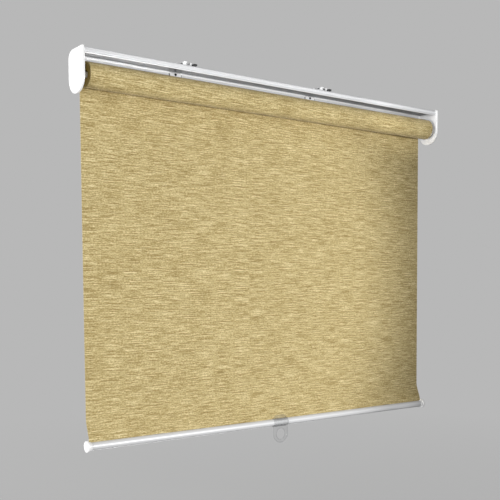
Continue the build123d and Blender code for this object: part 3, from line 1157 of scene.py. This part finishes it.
# ---------------------------------------------------------------------------------------
# Cloth
# ---------------------------------------------------------------------------------------
@dataclass
class Cloth:
    """The shade's cloth: wound on the tube, hanging, and swept into the bar."""

    thickness: float = 0.55 * MM
    points_per_turn: int = 72
    wind_pitch: float = 0.57 * MM
    columns: int = 140
    rows: int = 96
    sway: float = 0.25 * MM
    long_wave: float = 17.0
    short_wave: float = 41.0
    sweep_steps: int = 26
    slot_height: float = 5.6 * MM
    strips: int = 70
    roll_gap: float = 0.03 * MM
    tube_gap: float = 0.3 * MM

    def build(self) -> None:
        """Make the three stretches of cloth."""
        self._hanging()
        self._lower()
        self._wound()

    def _plane_y(self) -> float:
        """Middle of the hanging cloth's thickness."""
        low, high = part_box("fabric_sheet")
        return (low.y + high.y) / 2

    def _hanging(self) -> None:
        """Flat cloth from the roll down to the bar's sweep."""
        low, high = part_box("fabric_sheet")
        middle = (low + high) / 2
        width, height = high.x - low.x, high.z - low.z
        clear_selection()
        bpy.ops.mesh.primitive_grid_add(
            x_subdivisions=self.columns,
            y_subdivisions=self.rows,
            size=1.0,
            location=(middle.x, self._plane_y(), middle.z),
            rotation=(math.pi / 2, 0.0, 0.0),
        )
        cloth = name_new("cloth_hanging")
        cloth.scale = (width, height, 1.0)
        bpy.ops.object.transform_apply(location=True, rotation=True, scale=True)
        for vertex in cloth.data.vertices:
            vertex.co.y += self._ripple(vertex.co.x, (vertex.co.z - low.z) / height)
        lay_weave(cloth, lambda place: place.z)
        self._thicken(cloth)
        dress(cloth, Finish.CLOTH, "case", ["fabric_sheet"])
        joint = next(j for j in frame["joints"] if j["name"] == "bar_lift")
        travel = joint["range_m"][1]
        (height - travel) / height
        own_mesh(cloth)

    def _ripple(self, x: float, height_share: float) -> float:
        """Slight sway of the cloth out of its plane, none at its top or bottom."""
        waves = math.sin(x * self.long_wave + 0.7) + 0.6 * math.sin(x * self.short_wave)
        return self.sway * math.sin(math.pi * height_share) * waves

    def _thicken(self, cloth: bpy.types.Object) -> None:
        """Give the cloth its thickness about its middle."""
        modify(cloth, "SOLIDIFY", thickness=self.thickness, offset=0.0)
        shade(cloth, 50)

    def _lower(self) -> None:
        """Cloth that sweeps forward into the bar and goes round its rod."""
        low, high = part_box("fabric_hem")
        bar = Round.of("hem_rod")
        slot_top = bar.z + self.slot_height
        start_y, end_y = self._plane_y(), bar.y
        points = []
        for step in range(self.sweep_steps + 1):
            share = step / self.sweep_steps
            ease = share * share * (3.0 - 2.0 * share)
            y = start_y + (end_y - start_y) * ease
            points.append((y, high.z + (slot_top - high.z) * share))
        loop_radius = bar.radius + self.thickness
        points += arc(bar.axis, loop_radius, 90, -230, 28)
        lengths = [0.0]
        for before, after in zip(points, points[1:]):
            lengths.append(lengths[-1] + math.dist(before, after))
        cloth = draw_path("cloth_lower", across(low.x, points), closed=False)
        pull_edges(cloth, Vector((high.x - low.x, 0.0, 0.0)), self.strips - 1)
        top = high.z
        lay_weave(cloth, lambda place: top - self._length_at(place, points, lengths))
        set_faces_out(cloth)
        self._thicken(cloth)
        dress(cloth, Finish.CLOTH, "bar", ["fabric_hem"])

    @staticmethod
    def _length_at(place: Vector, points: Sequence[Point], lengths: Sequence[float]) -> float:
        """Distance down a cloth's path at a place.

        Args:
            place: the place.
            points: the path's (y, z) points.
            lengths: distance down the path at each point.

        Returns:
            The distance at the nearest point.
        """
        here = (place.y, place.z)
        nearest = min(range(len(points)), key=lambda index: math.dist(points[index], here))
        return lengths[nearest]

    def _wound(self) -> None:
        """Cloth wound on the tube, ending where it leaves the back of the roll."""
        roll = Round.of("fabric_roll")
        tube = Round.of("roller_tube")
        outer = roll.radius - self.roll_gap
        inner = tube.radius + self.tube_gap
        turns = (outer - inner) / self.wind_pitch
        steps = round(turns * self.points_per_turn)
        points, lengths = [], [0.0]
        for step in range(steps + 1):
            angle = math.tau * step / self.points_per_turn
            radius = outer - self.wind_pitch * step / self.points_per_turn
            points.append((roll.y + radius * math.cos(angle), roll.z + radius * math.sin(angle)))
            if step:
                lengths.append(lengths[-1] + math.dist(points[-2], points[-1]))
        cloth = draw_path("cloth_wound", across(roll.left, points), closed=False)
        pull_edges(cloth, Vector((roll.right - roll.left, 0.0, 0.0)), 6)
        lay_weave(cloth, lambda place: roll.z + self._length_at(place, points, lengths))
        set_faces_out(cloth)
        self._thicken(cloth)
        dress(cloth, Finish.CLOTH, "roller", ["fabric_roll"])


# ---------------------------------------------------------------------------------------
# Bottom bar
# ---------------------------------------------------------------------------------------
@dataclass
class BottomBar:
    """Slotted round tube with end caps, a rod in the hem and a clear pull ring."""

    wall: float = 1.0 * MM
    slot: float = 1.8 * MM
    sleeve: float = 4.2 * MM
    snug: float = 0.02 * MM
    clip_skin: float = 1.3 * MM
    clip_gap: float = 0.05 * MM
    clip_half: float = 15.0 * MM
    tongue_half: float = 10.0 * MM
    tongue_skin: float = 1.35 * MM
    tongue_inset: float = 0.8 * MM
    tongue_sink: float = 0.4 * MM
    tongue_corner: float = 2.5 * MM
    ring_depth: float = 2.4 * MM
    ring_outer: float = 14.6 * MM
    ring_hole: float = 9.4 * MM
    ring_drop: float = 19.8 * MM
    ring_inset: float = 2.0 * MM
    ring_sink: float = 0.6 * MM
    ring_corner: float = 3.0 * MM
    remesh: float = 0.32 * MM
    drip_angle: float = 237.0
    drip_half: float = 14.0
    drip_depth: float = 0.5 * MM

    def build(self) -> None:
        """Make the bar's pieces."""
        self._tube()
        for side in Side:
            self._cap(side)
        refinish("hem_rod", Finish.ROD)
        self._pull_ring()

    def _tube(self) -> None:
        """Round tube, slotted along its top, with a groove below its front that the bar's finish
        paints with a grey shade line.
        """
        bar = Round.of("bottom_bar")
        half_slot = math.degrees(math.asin(self.slot / 2 / bar.radius))
        centre = (bar.y, Round.of("hem_rod").z)
        foot = self.drip_angle
        groove = bar.radius - self.drip_depth
        section = [
            *arc(centre, bar.radius, 90 + half_slot, foot - self.drip_half, 36),
            *arc(centre, groove, foot - self.drip_half + 1, foot + self.drip_half - 1, 4),
            *arc(centre, bar.radius, foot + self.drip_half, 450 - half_slot, 36),
            *arc(centre, bar.radius - self.wall, 450 - half_slot * 1.2, 90 + half_slot * 1.2, 60),
        ]
        tube = bar_of("bottom_bar_tube", bar.left, bar.right - bar.left, section)
        shade(tube, 30)
        dress(tube, Finish.BAR, "bar", ["bottom_bar"])

    def _cap(self, side: Side) -> None:
        """Turned white cap with a domed face and a sleeve over the tube.

        Args:
            side: the end that it closes.
        """
        low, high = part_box(f"bar_cap_{side.word}")
        bar = Round.of("bottom_bar")
        axis = (bar.y, Round.of("hem_rod").z)
        sign = side.value
        face = low.x if side is Side.LEFT else high.x
        inner = high.x if side is Side.LEFT else low.x
        tube_end = bar.left if side is Side.LEFT else bar.right
        rim = (high.y - low.y) / 2
        round_over = 0.5 * MM
        dome = 0.15 * MM
        broken = 0.3 * MM
        lead_in = 0.6 * MM
        skin, tip_skin = 0.9 * MM, 0.8 * MM
        core = 3.3 * MM
        outside = bar.radius + self.snug
        inside = bar.radius - self.wall - self.snug
        profile = []
        for share in (0, 0.35, 0.7, 1):
            profile.append((face - sign * dome * share**2, rim * 0.8 * share))
        for x, radius in arc((0.0, rim - round_over), round_over, 90, 0, 7):
            profile.insert(4, (face - sign * (dome + round_over - x), radius))
        sleeve_end = tube_end - sign * self.sleeve
        shoulder = tube_end - sign * broken
        profile += [
            (tube_end, rim),
            (shoulder, rim - broken),
            (shoulder, bar.radius + skin),
            (sleeve_end + sign * round_over, bar.radius + tip_skin),
            (sleeve_end, bar.radius + tip_skin / 2),
            (sleeve_end, outside),
            (tube_end, outside),
            (tube_end, inside),
            (inner + sign * lead_in, inside),
            (inner, bar.radius - self.wall - round_over),
            (inner, core),
            (tube_end, core),
            (tube_end, 0.0),
        ]
        cap = turned(f"bar_cap_{side.word}_moulding", axis, profile)
        shade(cap, 40)
        dress(cap, Finish.CAP, "bar", [f"bar_cap_{side.word}"])

    def _pull_ring(self) -> None:
        """One clear moulding: spring clip, tongue on the cloth and finger ring."""
        low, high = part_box("pull_ring")
        rod = Round.of("hem_rod")
        bar_radius = Round.of("bottom_bar").radius
        middle = (low.x + high.x) / 2
        clip = self._clip(middle, rod, bar_radius)
        tongue = self._tongue(middle, rod, bar_radius, high.z)
        ring = self._ring(middle, rod, bar_radius)
        moulding = joined("pull_ring_moulding", [clip, tongue, ring])
        modify(moulding, "REMESH", mode="VOXEL", voxel_size=self.remesh)
        modify(moulding, "SMOOTH", factor=0.5, iterations=3)
        shade(moulding, 60)
        dress(moulding, Finish.CLEAR, "bar", ["pull_ring"])

    def _clip(self, middle: float, rod: Round, bar_radius: float) -> bpy.types.Object:
        """Open ring that springs over the bar.

        Args:
            middle: the middle's X.
            rod: the rod on the bar's axis.
            bar_radius: the bar's radius.

        Returns:
            The ring.
        """
        inner = bar_radius + self.clip_gap
        outer = bar_radius + self.clip_skin
        section = [
            *arc(rod.axis, outer, 95, 345, 50),
            *arc(rod.axis, inner, 345, 95, 50),
        ]
        return bar_of("clip", middle - self.clip_half, 2 * self.clip_half, section)

    def _tongue(
        self, middle: float, rod: Round, bar_radius: float, top: float
    ) -> bpy.types.Object:
        """Tapered tongue that lies on the cloth above the bar.

        Args:
            middle: the middle's X.
            rod: the rod on the bar's axis.
            bar_radius: the bar's radius.
            top: height of its tip.

        Returns:
            The tongue.
        """
        y = rod.y - self.tongue_inset
        foot = rod.z + bar_radius - self.tongue_sink
        corner = self.tongue_corner
        half = self.tongue_half - corner
        left_corner = arc((middle - half, top - corner), corner, 150, 90, 6)
        right_corner = arc((middle + half, top - corner), corner, 90, 30, 6)
        outline = [
            (middle - self.clip_half, foot),
            *left_corner,
            *right_corner,
            (middle + self.clip_half, foot),
        ]
        points = [Vector((x, y, z)) for x, z in outline]
        tongue = draw_path("tongue", points, closed=True)
        pull(tongue, Vector((0.0, -self.tongue_skin, 0.0)))
        set_faces_out(tongue)
        return tongue

    def _ring(self, middle: float, rod: Round, bar_radius: float) -> bpy.types.Object:
        """Finger ring with a rounded eight-sided outside, on a short web.

        Args:
            middle: the middle's X.
            rod: the rod on the bar's axis.
            bar_radius: the bar's radius.

        Returns:
            The ring.
        """
        centre = rod.z - self.ring_drop
        y = rod.y - self.ring_inset
        top = rod.z - bar_radius + self.ring_sink
        side = self.ring_outer
        flat = side * math.tan(math.pi / 8)
        outline = [
            (middle - side, top),
            (middle - side, centre - flat),
            (middle - flat, centre - side),
            (middle + flat, centre - side),
            (middle + side, centre - flat),
            (middle + side, top),
        ]
        points = [Vector((x, y, z)) for x, z in outline]
        ring = draw_path("ring", points, closed=True)
        with editing(ring, "DESELECT"):
            bpy.ops.object.mode_set(mode="OBJECT")
            for vertex in ring.data.vertices:
                vertex.select = vertex.co.z < top - SAME_PLACE
            bpy.ops.object.mode_set(mode="EDIT")
            bpy.ops.mesh.bevel(offset=self.ring_corner, segments=4, affect="VERTICES")
        pull(ring, Vector((0.0, -self.ring_depth, 0.0)))
        set_faces_out(ring)
        hole = Vector((middle, y - self.ring_depth / 2, centre))
        drill(ring, hole, self.ring_hole, THROUGH, Vector((math.pi / 2, 0.0, 0.0)))
        return ring


# ---------------------------------------------------------------------------------------
# Roller fittings
# ---------------------------------------------------------------------------------------
@dataclass
class RollerFittings:
    """Tube, plugs, pin and the spring motor's parts."""

    tube_wall: float = 1.0 * MM
    spigot: float = 3.0 * MM
    bush_gap: float = 0.5 * MM
    bush_bore: float = 3.05 * MM
    bush_barrel: float = 5.0 * MM
    wire: float = 0.8 * MM
    coil: float = 8.4 * MM
    turns: int = 34

    def build(self) -> None:
        """Make the turned parts and dress the rest."""
        self._tube()
        self._idler_pin()
        self._bush()
        self._spring()
        self._idler_plug()
        for node in ("motor_plug", "spring_anchor", "shaft_support"):
            refinish(node, Finish.DARK_NYLON)
        for node in ("fixed_shaft", "ratchet_wheel", "pawl_pins"):
            refinish(node, Finish.SHAFT)
        for node in ("pawl_upper", "pawl_lower"):
            refinish(node, Finish.BRACKET)
        refinish("shaft_clip", Finish.SPRING)
        refinish("shaft_socket", Finish.NYLON)
        refinish("mounting_tape", Finish.TAPE)

    def _tube(self) -> None:
        """Thin aluminium tube with broken edges."""
        tube = Round.of("roller_tube")
        bore = tube.radius - self.tube_wall
        broken = 0.2 * MM
        profile = [
            (tube.left, bore + broken),
            (tube.left, tube.radius - broken),
            (tube.left + broken, tube.radius),
            (tube.right - broken, tube.radius),
            (tube.right, tube.radius - broken),
            (tube.right, bore + broken),
            (tube.right - broken, bore),
            (tube.left + broken, bore),
            (tube.left, bore + broken),
        ]
        made = turned("roller_tube_drawn", tube.axis, profile, 72)
        shade(made)
        dress(made, Finish.TUBE, "roller", ["roller_tube"])

    def _idler_plug(self) -> None:
        """Flanged plug that closes the tube's left end."""
        plug = Round.of("idler_plug")
        tube = Round.of("roller_tube")
        flange = tube.radius + 0.25 * MM
        face = tube.left - 0.6 * MM
        web = face + 1.2 * MM
        wall = 2.0 * MM
        slant = 1.0 * MM
        hub, hub_foot, core = 5.2 * MM, 6.4 * MM, 5.0 * MM
        broken = 0.3 * MM
        profile = [
            (plug.left, self.spigot),
            (plug.left, hub),
            (web, hub_foot),
            (web, flange - wall - slant),
            (face, flange - wall),
            (face, flange - broken),
            (face + broken, flange),
            (tube.left, flange),
            (tube.left, plug.radius),
            (plug.right - broken, plug.radius),
            (plug.right, plug.radius - broken),
            (plug.right, plug.radius - wall),
            (web + wall, plug.radius - wall),
            (web + wall, core),
            (plug.right, core),
            (plug.right, self.spigot),
            (plug.left, self.spigot),
        ]
        made = turned("idler_plug_moulding", plug.axis, profile, 72)
        shade(made)
        dress(made, Finish.DARK_NYLON, "roller", ["idler_plug"])

    def _idler_pin(self) -> None:
        """Stepped white pin that the left end turns on."""
        pin = Round.of("idler_pin")
        hub_end = Round.of("idler_plug").left
        bush = Round.of("bearing_bush")
        spigot = self.spigot
        hub_start = bush.right + self.bush_gap
        broken = 0.35 * MM
        profile = [
            (pin.left, 0.0),
            (pin.left, spigot - broken),
            (pin.left + broken, spigot),
            (hub_start, spigot),
            (hub_start, pin.radius - broken),
            (hub_start + broken, pin.radius),
            (hub_end, pin.radius),
            (hub_end, spigot),
            (pin.right - broken, spigot),
            (pin.right, spigot - broken),
            (pin.right, 0.0),
        ]
        made = turned("idler_pin_turned", pin.axis, profile)
        shade(made)
        dress(made, Finish.NYLON, "roller", ["idler_pin"])

    def _bush(self) -> None:
        """Flanged bush in the left end plate."""
        bush = Round.of("bearing_bush")
        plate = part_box("end_plate_left")[1].x
        bore, barrel = self.bush_bore, self.bush_barrel
        broken = 0.3 * MM
        profile = [
            (bush.left, bore),
            (bush.left, barrel),
            (plate, barrel),
            (plate, bush.radius),
            (bush.right - broken, bush.radius),
            (bush.right, bush.radius - broken),
            (bush.right, bore + broken),
            (bush.right - broken, bore),
            (bush.left, bore),
        ]
        made = turned("bearing_bush_turned", bush.axis, profile)
        shade(made)
        dress(made, Finish.NYLON, "case", ["bearing_bush"])

    def _spring(self) -> None:
        """Torsion spring of round wire."""
        low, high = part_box("torsion_spring")
        shaft = Round.of("fixed_shaft")
        pitch = (high.x - low.x - 2 * self.wire) / self.turns
        clear_selection()
        bpy.ops.mesh.primitive_circle_add(
            vertices=10,
            radius=self.wire,
            fill_type="NGON",
            location=(low.x + self.wire, shaft.y, shaft.z + self.coil),
        )
        spring = name_new("torsion_spring_coil")
        with editing(spring):
            bpy.ops.transform.rotate(
                value=math.pi / 2,
                orient_axis="X",
                center_override=(low.x + self.wire, shaft.y, shaft.z + self.coil),
            )
        bpy.ops.object.transform_apply(location=True, rotation=True, scale=True)
        with editing(spring):
            bpy.ops.transform.translate(value=(0.0, -shaft.y, -shaft.z))
        modify(
            spring,
            "SCREW",
            axis="X",
            screw_offset=pitch,
            iterations=self.turns,
            steps=28,
            render_steps=28,
            use_merge_vertices=False,
        )
        with editing(spring):
            bpy.ops.transform.translate(value=(0.0, shaft.y, shaft.z))
        set_faces_out(spring)
        shade(spring, 60)
        dress(spring, Finish.SPRING, "case", ["torsion_spring"])


# ---------------------------------------------------------------------------------------
# Mounting brackets
# ---------------------------------------------------------------------------------------
@dataclass
class Bracket:
    """Mounting bracket with its locking plate, screws and release slide."""

    side: Side
    edge: float = 0.15 * MM
    # Black pad behind the locking plate whose rim paints a shadow gap round it: margin, thickness
    # and corner.
    seal_margin: float = 1.1 * MM
    seal_thickness: float = 0.4 * MM
    seal_corner: float = 1.5 * MM

    def build(self) -> None:
        """Make the bracket's pieces."""
        word = self.side.word
        slide_body = f"release_{word}"
        self._cast("bracket", "pressing", Finish.BRACKET, "case")
        self._cast("lock_plate", "pressing", Finish.LACQUER, "case")
        self._cast("lock_screws", "heads", Finish.BLACK_SCREW, "case")
        self._cast("release_slide", "moulding", Finish.BLACK, slide_body)
        # Painted shadow gap round the locking plate, as a black pad.
        self._seal()

    def _cast(self, part: str, kind: str, finish: Finish, body: str) -> None:
        """Copy one of the bracket's nodes with softened edges.

        Args:
            part: the node's name without its side.
            kind: word at the end of the copy's name.
            finish: what it is coated with.
            body: the body that it moves with.
        """
        node = f"{part}_{self.side.word}"
        piece = recast(node, f"{node}_{kind}", self.edge)
        dress(piece, finish, body, [node])

    def _seal(self) -> None:
        """Thin black pad behind the locking plate, whose rim paints a shadow gap round the plate.
        """
        word = self.side.word
        low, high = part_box(f"lock_plate_{word}")
        left, right = low.x - self.seal_margin, high.x + self.seal_margin
        bottom, top = low.z - self.seal_margin, high.z + self.seal_margin
        corner = self.seal_corner
        outline = [
            *arc((left + corner, bottom + corner), corner, 270, 180, 4),
            *arc((left + corner, top - corner), corner, 180, 90, 4),
            *arc((right - corner, top - corner), corner, 90, 0, 4),
            *arc((right - corner, bottom + corner), corner, 0, -90, 4),
        ]
        points = [Vector((x, high.y, z)) for x, z in outline]
        # Painted shadow gap: black pad one margin wider than the locking plate on every side.
        shadow_pad = draw_path(f"lock_plate_{word}_seal", points, closed=True)
        pull(shadow_pad, Vector((0.0, -self.seal_thickness, 0.0)))
        set_faces_out(shadow_pad)
        shade(shadow_pad)
        dress(shadow_pad, Finish.BLACK, "case")


# ---------------------------------------------------------------------------------------
# Studio
# ---------------------------------------------------------------------------------------
@dataclass
class Studio:
    """Pale floor, soft lights and the camera."""

    backdrop: float = 0.479
    ambient: float = 0.50
    floor_drop: float = 0.16
    pool_blend: float = 0.40
    floor_radius: float = 6.0
    floor_alpha: float = 0.25
    floor_fade: Point = (0.2, 1.5)
    eye: Place = (-0.8045, -1.0712, -0.3352)
    heading: float = 0.6417
    pitch: float = -0.0617
    roll: float = 0.0060
    lens: float = 59.06
    shift: Point = (-0.0058, 0.1762)

    def build(self) -> None:
        """Make the studio round the object."""
        self._world()
        self._floor()
        self._spot("front", (0.75, -2.05, -0.46), (-0.342, 0.0, -0.29), 0.803, 150.0)
        self._spot("end", (-0.50, -1.2, -0.18), (0.355, 0.0, 0.010), 0.10, 46.0, 0.03)
        self._spot("foot", (-0.40, -1.4, -0.75), (0.36, 0.0, -0.58), 0.03, 26.0, 0.02)
        self._light("side", (-2.5, -0.3, -0.25), 1.2, 70.0)
        self._light("glint", (2.0, -2.2, 0.55), 2.8, 6.0, 0.06)
        self._light("back", (0.4, 1.8, 0.7), 1.4, 12.0)
        self._camera()

    def _world(self) -> None:
        """Even pale grey surroundings that light the blind less than they show."""
        shop = Shop("studio", world=True)
        grey = (self.backdrop,) * 3 + (1.0,)
        seen = shop.node("ShaderNodeLightPath", output="Is Camera Ray")
        strength = self.ambient + seen * (1.0 - self.ambient)
        back = shop.node("ShaderNodeBackground", inputs={"Color": grey, "Strength": strength})
        shop.tree.links.new(back.socket, shop.output.inputs["Surface"])
        bpy.context.scene.world = shop.material
        bpy.context.scene.view_settings.view_transform = "Standard"

    def _floor(self) -> None:
        """Pale floor that fades out into the surroundings."""
        low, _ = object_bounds()
        clear_selection()
        bpy.ops.mesh.primitive_circle_add(
            vertices=96,
            radius=self.floor_radius,
            fill_type="NGON",
            location=(0.0, 0.0, low.z - self.floor_drop),
        )
        floor = name_new("floor")
        bpy.ops.object.transform_apply(location=True, rotation=True, scale=True)
        shop = Shop("floor_paint")
        source = shop.node("ShaderNodeTexCoord", output="Object")
        level = {0: source, 1: (1, 1, 0)}
        flat = shop.node("ShaderNodeVectorMath", {"operation": "MULTIPLY"}, level)
        reach = shop.node("ShaderNodeVectorMath", {"operation": "LENGTH"}, {0: flat}, "Value")
        faded = shop.spread(reach, *self.floor_fade)
        floor.data.materials.append(
            shop.surface(
                Base_Color=(0.60, 0.60, 0.60, 1.0),
                Roughness=0.9,
                Alpha=self.floor_alpha - faded * self.floor_alpha,
            )
        )
        floor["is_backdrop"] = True

    def _light(
        self,
        name: str,
        place: Place,
        width: float,
        power: float,
        slimness: float = 1.0,
    ) -> None:
        """Soft light aimed at the middle of the shade.

        Args:
            name: the light's name.
            place: where it stands.
            width: its width.
            power: its power in watts.
            slimness: its height as a share of its width.
        """
        data = bpy.data.lights.new(name, "AREA")
        data.shape = "RECTANGLE"
        data.size = width
        data.size_y = width * slimness
        data.energy = power
        low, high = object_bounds()
        self._stand(name, data, place, (low + high) / 2)

    def _spot(
        self,
        name: str,
        place: Place,
        aim: Place,
        reach: float,
        power: float,
        softness: float = 0.10,
    ) -> None:
        """Round light whose pool fades out softly.

        Args:
            name: the light's name.
            place: where it stands.
            aim: the middle of its pool.
            reach: the pool's radius there.
            power: its power in watts.
            softness: the lamp's radius, which blurs the pool's edge.
        """
        data = bpy.data.lights.new(name, "SPOT")
        data.energy = power
        data.shadow_soft_size = softness
        data.spot_size = 2.0 * math.atan(reach / math.dist(place, aim))
        data.spot_blend = self.pool_blend
        self._stand(name, data, place, Vector(aim))

    @staticmethod
    def _stand(name: str, data: bpy.types.Light, place: Place, aim: Vector) -> None:
        """Put a light at a place, turned to what it lights.

        Args:
            name: the light's name.
            data: the light.
            place: where it stands.
            aim: what it points at.
        """
        lamp = bpy.data.objects.new(name, data)
        bpy.context.scene.collection.objects.link(lamp)
        lamp.location = place
        lamp.rotation_euler = (aim - Vector(place)).to_track_quat("-Z", "Y").to_euler()

    def _camera(self) -> None:
        """Camera to the left of the blind, a little below its middle, looking slightly down."""
        data = bpy.data.cameras.new("camera")
        data.lens = self.lens
        data.sensor_width = 36.0
        data.shift_x, data.shift_y = self.shift
        camera = bpy.data.objects.new("camera", data)
        bpy.context.scene.collection.objects.link(camera)
        camera.location = self.eye
        camera.rotation_euler = (math.pi / 2 + self.pitch, self.roll, -self.heading)
        bpy.context.scene.camera = camera


def main() -> None:
    """Build the blind and its studio."""
    logging.basicConfig(level=logging.INFO, format="%(name)s: %(message)s")
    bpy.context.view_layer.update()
    Studio().build()
    HeadRail().build()
    for side in Side:
        CaseEnd(side).build()
        Bracket(side).build()
    Cloth().build()
    RollerFittings().build()
    BottomBar().build()


if __name__ == "__main__":
    main()
